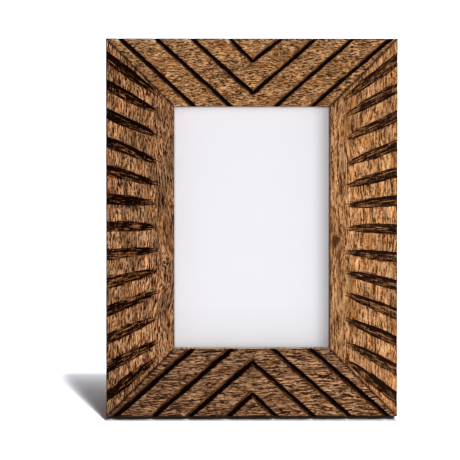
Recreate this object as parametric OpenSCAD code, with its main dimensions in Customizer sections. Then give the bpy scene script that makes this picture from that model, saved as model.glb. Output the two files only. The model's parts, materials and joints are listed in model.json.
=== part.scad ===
// Carved wooden picture frame on an easel strut.
// Each piece is drawn upright: x to the right, y from the front face to the back, z up from the bottom edge.
// stand() then leans it back and sets it on the floor, z = 0.

/* [Rails] */
// Width of the opening that shows the picture
sight_w = 95; // [80:1:130]
// Height of the opening that shows the picture
sight_h = 148; // [135:1:200]
// Width of each rail, from the opening to the outer edge
rail_w = 41.5; // [38:0.5:60]
// Thickness of the rails
frame_t = 16; // [14:0.5:22]
// How far the rails' lip covers the edge of the glass
lip_w = 3.8; // [3:0.1:6]
// Width of the flat that breaks the rails' front edges
edge_ease = 0.6; // [0.2:0.1:1.5]

/* [Picture stack] */
// Thickness of the glass
glass_t = 2; // [1.5:0.1:3]
// Thickness of the insert card
card_t = 0.3; // [0.2:0.1:1]
// Thickness of the backing board
board_t = 3; // [2.5:0.1:4]
// Room left at each side of the glass, card and board
panel_play = 0.5; // [0.2:0.1:1]
// How far the backing board lies below the rails' back face
board_recess = 0.2; // [0:0.1:0.5]

/* [Chevron grooves] */
// Grooves on each half of the top and bottom rails
groove_count = 4; // [1:1:6]
// Width of a groove at the face
groove_w = 3.1; // [1.5:0.1:5]
// Depth of a groove
groove_d = 2.6; // [1:0.1:3.5]
// Distance from the outer edge to the first chevron's point
groove_first = 14.4; // [8:0.1:18]
// Distance from one chevron's point to the next
groove_pitch = 19.5; // [10:0.1:24]
// Slope of the grooves from the horizontal
groove_angle = 41.5; // [30:0.5:44]
// How far the chevrons' points lie to the right of the middle
groove_shift = 1.1; // [0:0.1:3]

/* [Gouged flutes] */
// Slope of each flute, from the middle one outwards
flute_angles = [0, 6, 15, 21.5, 24, 28, 37];
// Distance between the flutes' wide ends, along the rail's outer edge
flute_pitch = 17.3; // [12:0.1:17.8]
// Length of a flute across the rail
flute_l = 32.4; // [20:0.1:35]
// Width of a flute where it leaves the rail's outer edge
flute_w = 6.7; // [4:0.1:9]
// Depth of a flute there
flute_d = 2.2; // [1:0.1:3]

/* [V-nails] */
// Length of each leg of a V-nail
nail_leg = 6; // [4:0.5:7]
// Thickness of the V-nail's steel strip
nail_t = 0.7; // [0.5:0.1:1]
// Height of a V-nail
nail_h = 9; // [6:0.5:10]
// How far a V-nail is driven below the back face
nail_sunk = 0.5; // [0.2:0.1:1]
// Distances of the two V-nails of a mitre from the outer edges
nail_places = [10, 26];
// Room between a V-nail and its slot
nail_clearance = 0.02; // [0.01:0.01:0.05]

/* [Turn buttons] */
// Length of a turn button
button_l = 22; // [18:0.5:26]
// Width of a turn button
button_w = 8; // [6.5:0.5:10]
// Thickness of a turn button
button_t = 0.8; // [0.6:0.1:1.2]
// Distance of the screw from the board's edge of the rebate
button_inset = 6.5; // [5.5:0.5:9]
// Distance between the upper and the lower turn buttons
button_spread = 84; // [40:1:110]
// Room under and over a turn button
button_gap = 0.05; // [0.02:0.01:0.1]
// Radius of the screw's shank
screw_r = 1.2; // [1:0.1:1.6]
// Length of the screw in the rail
screw_l = 8; // [6:0.5:9]
// Length of the screw's point
screw_tip = 2.4; // [1.5:0.1:3]
// Radius of the blunt end of the point
screw_point_r = 0.15; // [0.1:0.05:0.3]
// Room between the screw and its pilot hole
screw_clearance = 0.02; // [0.01:0.01:0.05]
// Radius of the screw's head
screw_head_r = 2.6; // [2.2:0.1:3.2]
// Height of the screw's head
screw_head_h = 1.3; // [1:0.1:1.8]
// Width of the slot in the screw's head
screw_slot_w = 0.7; // [0.5:0.1:1]
// Room round the shank in the turn button's hole
button_bore_play = 0.08; // [0.02:0.01:0.1]

/* [Hinge] */
// Distance from the board's top edge to the hinge pin
hinge_drop = 27.3; // [25:0.1:60]
// Width of the hinge
hinge_w = 30; // [24:1:36]
// Height of each leaf, from the pin
leaf_h = 20; // [16:0.5:24]
// Thickness of the leaves
leaf_t = 0.8; // [0.6:0.1:1]
// Width of the middle knuckle, which the moving leaf carries
middle_knuckle_w = 10; // [7:0.5:14]
// Gap between one knuckle and the next
knuckle_gap = 0.3; // [0.2:0.1:0.5]
// Radius of the hinge pin
pin_r = 1; // [0.8:0.1:1.3]
// Thickness of a knuckle's wall
knuckle_wall = 0.85; // [0.7:0.05:1.1]
// Room round the pin in the middle knuckle
pin_play = 0.05; // [0.02:0.01:0.1]
// Room round the pin in the outer knuckles, which grip it
pin_grip = 0.02; // [0.01:0.01:0.05]
// Room between a knuckle and the other leaf's edge
knuckle_room = 0.4; // [0.3:0.1:0.6]
// Height of the pin's peened heads
pin_head_t = 0.6; // [0.4:0.1:0.8]
// How far the pin's heads lie inside the knuckles' outline
pin_head_inset = 0.3; // [0.1:0.1:0.5]
// Gap between a knuckle and the board
knuckle_lift = 0.3; // [0.2:0.1:0.6]
// Gap between the folded moving leaf and the board
leaf_lift = 0.8; // [0.7:0.1:1.2]

/* [Rivets] */
// Radius of a rivet's shank
rivet_r = 1.3; // [1:0.1:1.6]
// Radius of a rivet's head
rivet_head_r = 2.4; // [2.1:0.1:2.8]
// Radius of the flat top of a rivet's outer head
rivet_top_r = 1.4; // [1:0.1:1.8]
// Height of a rivet's outer head
rivet_head_h = 0.7; // [0.5:0.1:1]
// Height of a rivet's flat inner head
rivet_flat_h = 0.5; // [0.3:0.1:0.6]
// Distance of the rivets from the hinge pin
rivet_drop = 12.5; // [9:0.5:15]
// Distance between the two rivets
rivet_spread = 18; // [12:1:20]
// Room round a rivet in its holes
rivet_clearance = 0.03; // [0.01:0.01:0.1]

/* [Stand] */
// How far the frame leans back
lean_angle = 12; // [10:0.5:15]
// Angle between the open strut and the frame
strut_angle = 22.5; // [18:0.5:24]
// Width of the strut at its top
strut_top_w = 46; // [44:1:60]
// Width of the strut at its foot
strut_foot_w = 56; // [44:1:70]
// Thickness of the strut
strut_t = 3; // [2.5:0.1:4]
// Height of the strut's heels above the pin, which stop it when it is open
heel_h = 6; // [5:0.5:9]
// Room between the hinge and the strut's heels
heel_room = 1.2; // [1:0.1:2]
// Gap between the strut's heels and the board when it is open
heel_gap = 0.05; // [0.02:0.01:0.1]

/* [Hidden] */
$fn = 64;

cut = 1; // how far a cutting shape runs past the face that it cuts
sweep_spare = 4; // how far the gouge's arc runs on past the flute's ends

frame_w = sight_w + 2 * rail_w;
frame_h = sight_h + 2 * rail_w;

// The rebate and what lies in it, from the lip to the back
rebate_w = sight_w + 2 * lip_w;
rebate_h = sight_h + 2 * lip_w;
rebate_z = rail_w - lip_w;
panel_w = rebate_w - 2 * panel_play;
panel_h = rebate_h - 2 * panel_play;
rebate_d = glass_t + card_t + board_t + board_recess;
glass_y = frame_t - rebate_d;
card_y = glass_y + glass_t;
board_y = card_y + card_t;
board_back = board_y + board_t;

// The gouge sweeps an arc that meets the face at the flute's tip
gouge_r = (pow(flute_w / 2, 2) + pow(flute_d, 2)) / (2 * flute_d);
sweep_r = (pow(flute_l, 2) + pow(flute_d, 2)) / (2 * flute_d);
sweep_angle = asin((flute_l + sweep_spare) / sweep_r);

// Turn buttons
button_x = rebate_w / 2 + button_inset;
button_y = frame_t + button_gap;
button_mid_z = rebate_z + rebate_h / 2;
screw_head_y = button_y + button_t + button_gap;

// Hinge
knuckle_r = pin_r + pin_play + knuckle_wall;
pin_y = board_back + knuckle_lift + knuckle_r;
pin_z = rebate_z + panel_h - hinge_drop;
outer_knuckle_w = (hinge_w - middle_knuckle_w) / 2 - knuckle_gap;
leaf_room = knuckle_r + knuckle_room; // from the pin to the edge of a leaf that passes a knuckle
moving_leaf_y = board_back + leaf_lift;
pin_head_r = knuckle_r - pin_head_inset;

// Strut, folded flat against the back
strut_y = moving_leaf_y + leaf_t;
strut_lean = strut_angle - lean_angle;
lift = frame_t * sin(lean_angle);
strut_l = (pin_z * cos(lean_angle) - pin_y * sin(lean_angle) + lift) / cos(strut_lean);
spare_l = 4; // cut off where the open strut meets the floor

// The strut's rear corner on the floor is the rearmost point of the whole
strut_back = strut_y + strut_t - pin_y;
floor_y = pin_y * cos(lean_angle) + pin_z * sin(lean_angle) + strut_l * sin(strut_lean)
    + strut_back / cos(strut_lean);

// Placing

module stand() {
    translate([0, -floor_y / 2, lift]) rotate([-lean_angle, 0, 0]) children();
}

// Turns what is drawn folded to where it is when the strut is open
module opened() {
    translate([0, pin_y, pin_z]) rotate([strut_angle, 0, 0]) translate([0, -pin_y, -pin_z]) children();
}

// Extrudes an outline drawn in x and z from depth y0 to depth y1
module slab(y0, y1) {
    translate([0, y1, 0]) rotate([90, 0, 0]) linear_extrude(y1 - y0) children();
}

module upright_cylinder(x, z, y0, y1, r) {
    translate([x, y1, z]) rotate([90, 0, 0]) cylinder(h = y1 - y0, r = r);
}

// Rails

module end_rail_outline() {
    polygon([[-frame_w / 2, 0], [frame_w / 2, 0],
             [frame_w / 2 - rail_w, rail_w], [-frame_w / 2 + rail_w, rail_w]]);
}

module side_rail_outline() {
    polygon([[-frame_w / 2, 0], [-frame_w / 2 + rail_w, rail_w],
             [-frame_w / 2 + rail_w, frame_h - rail_w], [-frame_w / 2, frame_h]]);
}

module rebate_cut() {
    slab(glass_y, frame_t + cut) translate([-rebate_w / 2, rebate_z]) square([rebate_w, rebate_h]);
}

// Breaks the front edges along the bottom rail: the outer one, and the one at the opening
module end_rail_eases() {
    for (z = [0, rail_w]) {
        translate([0, 0, z]) rotate([45, 0, 0]) cube([2 * frame_w, edge_ease, edge_ease], center = true);
    }
}

// The same along the left rail
module side_rail_eases() {
    for (x = [-frame_w / 2, -sight_w / 2]) {
        translate([x, 0, 0]) rotate([0, 0, 45]) cube([edge_ease, edge_ease, 3 * frame_h], center = true);
    }
}

// One V-shaped cut along +x from the origin, in the front face
module groove_cut(length) {
    flare = groove_w / 2 * (1 + cut / groove_d);
    rotate([90, 0, 90]) linear_extrude(length) polygon([[-cut, -flare], [-cut, flare], [groove_d, 0]]);
}

// Chevrons that point from the bottom edge towards the opening
module chevron_cuts() {
    for (i = [0 : groove_count - 1]) {
        point_z = groove_first + i * groove_pitch;
        run = (point_z + groove_w) / sin(groove_angle);
        for (side = [0, 1]) {
            translate([groove_shift, 0, point_z]) mirror([side, 0, 0])
                rotate([0, groove_angle, 0]) groove_cut(run);
        }
    }
}

// One gouge cut that starts at the origin, at full depth, and rises to the face along +x
module flute_cut() {
    translate([0, flute_d - sweep_r, 0]) rotate([0, 0, 90 - sweep_angle])
        rotate_extrude(angle = 2 * sweep_angle, $fn = 256)
            translate([sweep_r - gouge_r, 0]) circle(r = gouge_r);
}

// The fan of flutes on the left rail
module flute_cuts() {
    last = len(flute_angles) - 1;
    for (i = [-last : last]) {
        slope = sign(i) * flute_angles[abs(i)];
        translate([-frame_w / 2, 0, frame_h / 2 + i * flute_pitch]) rotate([0, slope, 0]) flute_cut();
    }
}

// V-nails

module nail_outline(extra) {
    arm = nail_leg + 2 * extra;
    thick = nail_t + 2 * extra;
    translate([-extra, -extra]) {
        square([arm, thick]);
        square([thick, arm]);
    }
}

// Shapes for the two V-nails of the bottom left mitre
module corner_nails(extra, back) {
    for (place = nail_places) {
        slab(frame_t - nail_sunk - nail_h - extra, back)
            translate([place - frame_w / 2, place]) nail_outline(extra);
    }
}

// The bottom left corner's children, carried to another corner
module at_corner(right, top) {
    translate([0, 0, top * frame_h]) mirror([0, 0, top]) mirror([right, 0, 0]) children();
}

module nail_slots() {
    for (right = [0, 1], top = [0, 1]) {
        at_corner(right, top) corner_nails(nail_clearance, frame_t + cut);
    }
}

module v_nails(right, top) {
    color("silver") stand() at_corner(right, top) corner_nails(0, frame_t - nail_sunk);
}

// Screws and turn buttons: side and level are -1 or 1

module screw_pilots(side) {
    for (level = [-1, 1]) {
        upright_cylinder(side * button_x, button_mid_z + level * button_spread / 2,
            frame_t - screw_l - screw_clearance, frame_t + cut, screw_r + screw_clearance);
    }
}

module screw_body() {
    dome_r = (pow(screw_head_r, 2) + pow(screw_head_h, 2)) / (2 * screw_head_h);
    rotate([90, 0, 0]) {
        translate([0, 0, -screw_head_y])
            cylinder(h = screw_head_y - frame_t + screw_l - screw_tip, r = screw_r);
        translate([0, 0, screw_l - screw_tip - frame_t])
            cylinder(h = screw_tip, r1 = screw_r, r2 = screw_point_r);
    }
    difference() {
        intersection() {
            translate([0, screw_head_y + screw_head_h - dome_r, 0]) sphere(r = dome_r);
            upright_cylinder(0, 0, screw_head_y, screw_head_y + screw_head_h, screw_head_r);
        }
        translate([-screw_head_r, screw_head_y + screw_head_h / 2, -screw_slot_w / 2])
            cube([2 * screw_head_r, screw_head_h, screw_slot_w]);
    }
}

module screw(side, level) {
    color("silver") stand() translate([side * button_x, 0, button_mid_z + level * button_spread / 2])
        screw_body();
}

module turn_button(side, level) {
    reach = button_l - button_w;
    color("silver") stand() translate([side * button_x, 0, button_mid_z + level * button_spread / 2])
        difference() {
            slab(button_y, button_y + button_t) {
                circle(d = button_w);
                translate([-side * reach, 0]) circle(d = button_w);
                translate([-side * reach / 2, 0]) square([reach, button_w], center = true);
            }
            upright_cylinder(0, 0, button_y - cut, button_y + button_t + cut, screw_r + button_bore_play);
        }
}

// Hinge

module along_pin(r, x0, x1) {
    translate([x0, pin_y, pin_z]) rotate([0, 90, 0]) cylinder(h = x1 - x0, r = r);
}

// Lies at the same x and distance from the pin on either leaf: above it with side 1, below it with side -1
module at_rivets(side) {
    for (x = [-rivet_spread / 2, rivet_spread / 2]) {
        translate([x, 0, pin_z + side * rivet_drop]) children();
    }
}

module rivet_holes(side, y0, y1) {
    at_rivets(side) upright_cylinder(0, 0, y0, y1, rivet_r + rivet_clearance);
}

module hinge_fixed_leaf() {
    outer_edge = hinge_w / 2;
    inner_edge = outer_edge - outer_knuckle_w;
    color("goldenrod") stand() difference() {
        union() {
            slab(board_back, board_back + leaf_t) {
                translate([-outer_edge, pin_z + leaf_room]) square([hinge_w, leaf_h - leaf_room]);
                for (x = [-outer_edge, inner_edge]) {
                    translate([x, pin_z]) square([outer_knuckle_w, leaf_h]);
                }
            }
            along_pin(knuckle_r, -outer_edge, -inner_edge);
            along_pin(knuckle_r, inner_edge, outer_edge);
        }
        along_pin(pin_r + pin_grip, -hinge_w, hinge_w);
        rivet_holes(1, board_back - cut, board_back + leaf_t + cut);
    }
}

module hinge_moving_leaf() {
    half = middle_knuckle_w / 2;
    color("goldenrod") stand() opened() difference() {
        union() {
            slab(moving_leaf_y, moving_leaf_y + leaf_t) {
                translate([-hinge_w / 2, pin_z - leaf_h]) square([hinge_w, leaf_h - leaf_room]);
                translate([-half, pin_z - leaf_h]) square([middle_knuckle_w, leaf_h]);
            }
            along_pin(knuckle_r, -half, half);
        }
        along_pin(pin_r + pin_play, -hinge_w, hinge_w);
        rivet_holes(-1, moving_leaf_y - cut, moving_leaf_y + leaf_t + cut);
    }
}

module hinge_pin() {
    end = hinge_w / 2 + pin_grip;
    color("goldenrod") stand() {
        along_pin(pin_r, -end, end);
        along_pin(pin_head_r, -end - pin_head_t, -end);
        along_pin(pin_head_r, end, end + pin_head_t);
    }
}

// A headed rivet from the flat head's inner side at y0 to the outer head's inner side at y1
module rivet(y0, y1) {
    upright_cylinder(0, 0, y0, y1, rivet_r);
    upright_cylinder(0, 0, y0 - rivet_flat_h, y0, rivet_head_r);
    translate([0, y1, 0]) rotate([-90, 0, 0]) cylinder(h = rivet_head_h, r1 = rivet_head_r, r2 = rivet_top_r);
}

module hinge_board_rivets() {
    color("goldenrod") stand() at_rivets(1) rivet(board_y + board_recess + rivet_flat_h, board_back + leaf_t);
}

module hinge_strut_rivets() {
    color("goldenrod") stand() opened() at_rivets(-1) rivet(moving_leaf_y, strut_y + strut_t);
}

// Panels

module panel(y0, thickness, width) {
    stand() slab(y0, y0 + thickness) translate([-width / 2, rebate_z]) square([width, panel_h]);
}

module glass_pane() {
    color("lightcyan", 0.4) panel(glass_y, glass_t, panel_w);
}

module insert_card() {
    color("white") panel(card_y, card_t, panel_w);
}

module backing_board() {
    color("saddlebrown") difference() {
        panel(board_y, board_t, panel_w);
        stand() {
            rivet_holes(1, board_y - cut, board_back + cut);
            // Seats that keep the rivets' flat heads clear of the card
            at_rivets(1) upright_cylinder(0, 0, board_y - cut, board_y + board_recess + rivet_flat_h,
                rivet_head_r + rivet_clearance);
        }
    }
}

// Strut

module easel_strut() {
    top_z = pin_z + heel_h;
    foot_z = pin_z - strut_l - spare_l;
    slot_w = hinge_w + 2 * heel_room;
    color("saddlebrown") difference() {
        stand() difference() {
            opened() difference() {
                slab(strut_y, strut_y + strut_t) difference() {
                    polygon([[-strut_foot_w / 2, foot_z], [strut_foot_w / 2, foot_z],
                             [strut_top_w / 2, top_z], [-strut_top_w / 2, top_z]]);
                    translate([-slot_w / 2, pin_z - leaf_room]) square([slot_w, heel_h + leaf_room + cut]);
                }
                rivet_holes(-1, strut_y - cut, strut_y + strut_t + cut);
            }
            // The heels' bearing faces against the board
            translate([-strut_top_w, board_back + heel_gap - heel_h, pin_z])
                cube([2 * strut_top_w, heel_h, 2 * heel_h]);
        }
        // The floor
        translate([-strut_foot_w, 0, -2 * spare_l - strut_t])
            cube([2 * strut_foot_w, floor_y, 2 * spare_l + strut_t]);
    }
}

// Rails as built

module bottom_rail() {
    color("peru") stand() difference() {
        slab(0, frame_t) end_rail_outline();
        end_rail_eases();
        rebate_cut();
        chevron_cuts();
        nail_slots();
    }
}

module top_rail() {
    color("peru") stand() difference() {
        translate([0, 0, frame_h]) mirror([0, 0, 1]) difference() {
            slab(0, frame_t) end_rail_outline();
            end_rail_eases();
            chevron_cuts();
        }
        rebate_cut();
        nail_slots();
    }
}

module side_rail(side) {
    color("peru") stand() difference() {
        mirror([side > 0 ? 1 : 0, 0, 0]) difference() {
            slab(0, frame_t) side_rail_outline();
            side_rail_eases();
            flute_cuts();
        }
        rebate_cut();
        nail_slots();
        screw_pilots(side);
    }
}

top_rail();
bottom_rail();
side_rail(-1);  // left_rail
side_rail(1);  // right_rail
v_nails(0, 1);  // top_left_v_nails
v_nails(1, 1);  // top_right_v_nails
v_nails(0, 0);  // bottom_left_v_nails
v_nails(1, 0);  // bottom_right_v_nails
glass_pane();
insert_card();
backing_board();
turn_button(-1, 1);  // upper_left_turn_button
turn_button(1, 1);  // upper_right_turn_button
turn_button(-1, -1);  // lower_left_turn_button
turn_button(1, -1);  // lower_right_turn_button
screw(-1, 1);  // upper_left_screw
screw(1, 1);  // upper_right_screw
screw(-1, -1);  // lower_left_screw
screw(1, -1);  // lower_right_screw
hinge_fixed_leaf();
hinge_moving_leaf();
hinge_pin();
hinge_board_rivets();
hinge_strut_rivets();
easel_strut();
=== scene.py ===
import json
import math

import bmesh
import bpy
import numpy as np
from mathutils import Matrix, Vector
from mathutils.geometry import delaunay_2d_cdt


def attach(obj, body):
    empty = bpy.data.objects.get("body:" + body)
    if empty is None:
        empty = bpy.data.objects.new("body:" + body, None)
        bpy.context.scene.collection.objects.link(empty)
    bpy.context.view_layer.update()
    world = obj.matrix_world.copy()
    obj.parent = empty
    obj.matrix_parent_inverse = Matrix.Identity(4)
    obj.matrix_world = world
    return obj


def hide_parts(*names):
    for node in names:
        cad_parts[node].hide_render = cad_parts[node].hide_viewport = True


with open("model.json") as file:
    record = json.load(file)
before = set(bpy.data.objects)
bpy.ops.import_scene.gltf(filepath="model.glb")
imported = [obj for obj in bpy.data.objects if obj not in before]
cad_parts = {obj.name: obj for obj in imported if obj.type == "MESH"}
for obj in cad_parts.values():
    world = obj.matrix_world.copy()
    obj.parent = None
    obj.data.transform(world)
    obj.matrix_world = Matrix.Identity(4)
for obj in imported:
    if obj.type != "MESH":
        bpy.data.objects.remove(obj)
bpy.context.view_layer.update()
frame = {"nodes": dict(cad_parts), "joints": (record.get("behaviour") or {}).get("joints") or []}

mm = 0.001

# Every piece is drawn upright in millimetres: x to the right, y from the front face to the back and z up
# from the bottom edge. stand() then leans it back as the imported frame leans.
turnAxis = next(joint["axis"] for joint in frame["joints"] if joint["name"] == "upper_left_turn")
lean = math.atan2(-turnAxis[2], turnAxis[1])
leanBack = np.array([[1, 0, 0],
                     [0, math.cos(lean), math.sin(lean)],
                     [0, -math.sin(lean), math.cos(lean)]])


def meshPoints(mesh):
    flat = np.empty(3 * len(mesh.vertices), np.float32)
    mesh.vertices.foreach_get("co", flat)
    return flat.reshape(-1, 3).astype(float)


def turnedPoints(node):
    return meshPoints(frame["nodes"][node].data) / mm @ leanBack


railNodes = ("bottom_rail", "top_rail", "left_rail", "right_rail")
railPoints = np.vstack([turnedPoints(node) for node in railNodes])
footPoint = np.array([0, *railPoints.min(0)[1:]])  # the front face's bottom edge, halfway along


def stand(points):
    return (np.asarray(points) + footPoint) @ leanBack.T * mm


def uprightBox(node):
    points = turnedPoints(node) - footPoint
    return points.min(0), points.max(0)


frameW, frameT, frameH = np.ptp(railPoints, 0)
railW = np.ptp(turnedPoints("top_rail"), 0)[2]
glassY = uprightBox("glass_pane")[0][1]
print(f"frame: {frameW:.1f} by {frameH:.1f} mm, rails {railW:.1f} mm wide, "
      f"leaning {math.degrees(lean):.1f} degrees")


# Colours and materials

def tone(colour):
    # sRGB hex to a linear colour. A number is the level of a mask or a light, and becomes that grey.
    if not isinstance(colour, str):
        return (colour, colour, colour, 1)
    parts = [int(colour[k:k + 2], 16) / 255 for k in (1, 3, 5)]
    return (*(c / 12.92 if c <= 0.04045 else ((c + 0.055) / 1.055) ** 2.4 for c in parts), 1)


def addNode(tree, kind, inputs, **settings):
    # An input is a value, a hex colour, a socket, or a node whose first output in use is then linked
    made = tree.nodes.new(f"ShaderNode{kind}")
    stops = settings.pop("stops", None)  # (place, colour) pairs of a colour ramp
    if stops:
        while len(made.color_ramp.elements) < len(stops):
            made.color_ramp.elements.new(1)
        for element, (place, colour) in zip(made.color_ramp.elements, stops):
            element.position = place
            element.color = tone(colour)
    for name, value in settings.items():
        setattr(made, name, value)
    for name, value in inputs.items():
        if isinstance(value, bpy.types.Node):
            value = next(socket for socket in value.outputs if socket.enabled)
        if isinstance(value, bpy.types.NodeSocket):
            tree.links.new(value, made.inputs[name])
        else:
            made.inputs[name].default_value = tone(value) if isinstance(value, str) else value
    return made


def newMaterial(name):
    material = bpy.data.materials.new(name)
    material.use_nodes = True
    material.node_tree.nodes.clear()
    return material, material.node_tree


def mottle(tree, place, sizes, detail=2.0, roughness=0.5, distortion=0.0, offset=(0, 0, 0)):
    # A cloudy pattern whose features measure sizes, in the units of the place
    scaled = addNode(tree, "Mapping",
                     {"Vector": place, "Scale": tuple(1 / size for size in sizes), "Location": offset})
    return addNode(tree, "TexNoise", {"Vector": scaled, "Scale": 1.0, "Detail": detail,
                                      "Roughness": roughness, "Distortion": distortion})


def openPores(tree, place, sizes, width):
    # Separate dark dashes, one to a cell that measures sizes, some fainter than others
    scaled = addNode(tree, "Mapping", {"Vector": place, "Scale": tuple(1 / size for size in sizes)})
    bend = addNode(tree, "TexNoise", {"Vector": scaled, "Scale": 1.7, "Detail": 1.0})
    bent = addNode(tree, "VectorMath", {0: bend.outputs["Color"], 1: (0.9, 0.9, 0.9), 2: scaled},
                   operation="MULTIPLY_ADD")
    cells = addNode(tree, "TexVoronoi", {"Vector": bent, "Scale": 1.0})
    dash = addNode(tree, "ValToRGB", {"Fac": cells.outputs["Distance"]},
                   stops=[(width, 1), (width + 0.12, 0)])
    faint = addNode(tree, "ValToRGB", {"Fac": cells.outputs["Color"]}, stops=[(0.25, 0.15), (0.6, 1)])
    return addNode(tree, "Math", {0: dash, 1: faint}, operation="MULTIPLY")


def shifted(tree, base, pattern, reach):
    # The base, raised where the pattern is over its middle value and lowered where it is under it
    around = addNode(tree, "Math", {0: pattern, 1: 0.5}, operation="SUBTRACT")
    return addNode(tree, "Math", {0: around, 1: reach, 2: base}, operation="MULTIPLY_ADD")


# Mango wood, planed, carved and oiled. Its open pores read as short dark dashes along the grain, with
# lighter tan between them. The carving is scorched: matt black where the iron went deepest, and brown
# gouge marks elsewhere. The black is laid heavier on the walls that face away from the light, a painted
# shade, and the lips on the lit side are painted pale, a painted highlight as well as fresh wood.
def mangoWood(name, look):
    material, tree = newMaterial(name)
    painted = {}  # what paintRail stored on the mesh
    for key, output in dict(grainMm="Vector", cutMm="Vector", tint="Color", cutStrength="Fac", burn="Fac",
                            freshWoodAndHighlight="Fac", grimeAndShade="Fac", knot="Fac").items():
        painted[key] = addNode(tree, "Attribute", {}, attribute_name=key).outputs[output]
    grain, cutting = painted["grainMm"], painted["cutMm"]

    # Fibres of three lengths, from the dark of the pores to the pale wood between them
    fibres = 0.0
    for key, share, *kind in (("fibres", 0.4, 1.0, 0.6, 0.05), ("strokes", 0.35, 0.0, 0.5, 0.0, (9, 4, 1)),
                              ("flecks", 0.25, 0.0, 0.5, 0.0, (5, 2, 8))):
        layer = mottle(tree, grain, look[key], *kind)
        fibres = addNode(tree, "Math", {0: layer, 1: share, 2: fibres}, operation="MULTIPLY_ADD")
    tones = dict(pore=0.405, dash=0.455, middle=0.5, light=0.535, pale=0.585)
    wood = addNode(tree, "ValToRGB", {"Fac": fibres},
                   stops=[(place, look[key]) for key, place in tones.items()])

    # Warm bands, dark and rich strands, the rail's own tint (on the opening's walls a painted light or
    # shade),
    #     # pores, the curls of a knot, and grime with painted shade on the edges that face away from the
    #     light
    bands = mottle(tree, grain, look["bands"], 2.0, 0.5, 0.6, (7, 3, 1))
    warmth = addNode(tree, "ValToRGB", {"Fac": bands}, stops=[(0.5, 0), (0.68, 0.5)])
    strands = mottle(tree, grain, look["strands"], 2.0, 0.6, 0.4, (3, 9, 4))
    depths = addNode(tree, "ValToRGB", {"Fac": strands},
                     stops=[(0.3, look["strandy"]), (0.5, 1), (0.7, look["richer"])])
    dashes = openPores(tree, grain, look["dashes"], look["dashWidth"])
    dashes = addNode(tree, "Math", {0: dashes, 1: look["dashy"]}, operation="MULTIPLY")
    curls = mottle(tree, grain, look["curls"], 1.0, 0.5, 1.5, (8, 2, 5))
    curls = addNode(tree, "ValToRGB", {"Fac": curls}, stops=[(0.46, 0), (0.485, 1), (0.515, 1), (0.54, 0)])
    curls = addNode(tree, "Math", {0: curls, 1: painted["knot"]}, operation="MULTIPLY")
    for share, colour, blend in ((warmth, look["warm"], "MIX"), (1.0, depths, "MULTIPLY"),
                                 (1.0, painted["tint"], "MULTIPLY"), (dashes, look["pore"], "MIX"),
                                 (curls, look["pore"], "MIX"), (painted["grimeAndShade"], look["pore"], "MIX")):
        wood = addNode(tree, "Mix", {0: share, 6: wood, 7: colour}, data_type="RGBA", blend_type=blend)

    # The cuts: the iron's streaks, the char over them, heavier on the shaded walls as painted shade,
    #     # and pale wood on the broken lips, which on the lit side is also a painted highlight
    ragged = mottle(tree, cutting, look["ragged"], 2.0, 0.6)
    edge = shifted(tree, painted["cutStrength"], ragged, look["rags"])
    inside = addNode(tree, "ValToRGB", {"Fac": edge}, stops=[(0.15, 0), (0.6, 1)])
    streaks = mottle(tree, cutting, look["streaks"], 2.0, 0.7, 0.2)
    streaks = shifted(tree, streaks, fibres, look["crossing"])
    floor = addNode(tree, "ValToRGB", {"Fac": streaks}, stops=look["floor"])
    scorch = shifted(tree, painted["burn"], streaks, -look["streaky"])
    scorch = addNode(tree, "ValToRGB", {"Fac": scorch}, stops=[(0.3, 0), (0.62, 1)])
    paleMarks = mottle(tree, cutting, look["paleMarks"], 2.0, 0.6, 0.2, (5, 5, 5))
    paleMarks = addNode(tree, "ValToRGB", {"Fac": paleMarks}, stops=[(0.42, 0), (0.55, 1)])
    paleMarks = addNode(tree, "Math", {0: painted["freshWoodAndHighlight"], 1: paleMarks}, operation="MULTIPLY")
    burnt = addNode(tree, "Mix", {0: scorch, 6: floor, 7: look["char"]}, data_type="RGBA")
    colour = addNode(tree, "Mix", {0: inside, 6: wood, 7: burnt}, data_type="RGBA")
    colour = addNode(tree, "Mix", {0: paleMarks, 6: colour, 7: look["paleWood"]}, data_type="RGBA")

    pitted = addNode(tree, "Math", {0: 1.0, 1: fibres}, operation="SUBTRACT")
    hollow = addNode(tree, "Mix", {0: inside, 6: pitted, 7: streaks}, data_type="RGBA")
    bump = addNode(tree, "Bump", {"Height": hollow, "Distance": 0.15 * mm, "Strength": 0.8}, invert=True)
    shine = addNode(tree, "Mix", {0: inside, 6: tone(0.5), 7: tone(0.9)}, data_type="RGBA")
    shader = addNode(tree, "BsdfPrincipled", {"Base Color": colour, "Roughness": shine, "Normal": bump,
                                              "IOR": 1.5, "Specular IOR Level": 0.02})
    addNode(tree, "OutputMaterial", {"Surface": shader})
    return material


# Clear float glass, polished and thin: it shows what lies behind it, with a faint reflection
def floatGlass():
    material, tree = newMaterial("clearFloatGlass")
    clear = addNode(tree, "BsdfTransparent", {"Color": "#FBFDFC"})
    gloss = addNode(tree, "BsdfGlossy", {"Color": "#FFFFFF", "Roughness": 0.02})
    fresnel = addNode(tree, "Fresnel", {"IOR": 1.45})
    hidden = addNode(tree, "NewGeometry", {}).outputs["Backfacing"]
    outside = addNode(tree, "Math", {0: 1.0, 1: hidden}, operation="SUBTRACT")
    outward = addNode(tree, "Math", {0: fresnel, 1: outside}, operation="MULTIPLY")
    mixed = addNode(tree, "MixShader", {0: outward, 1: clear, 2: gloss})
    addNode(tree, "OutputMaterial", {"Surface": mixed})
    return material


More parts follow.
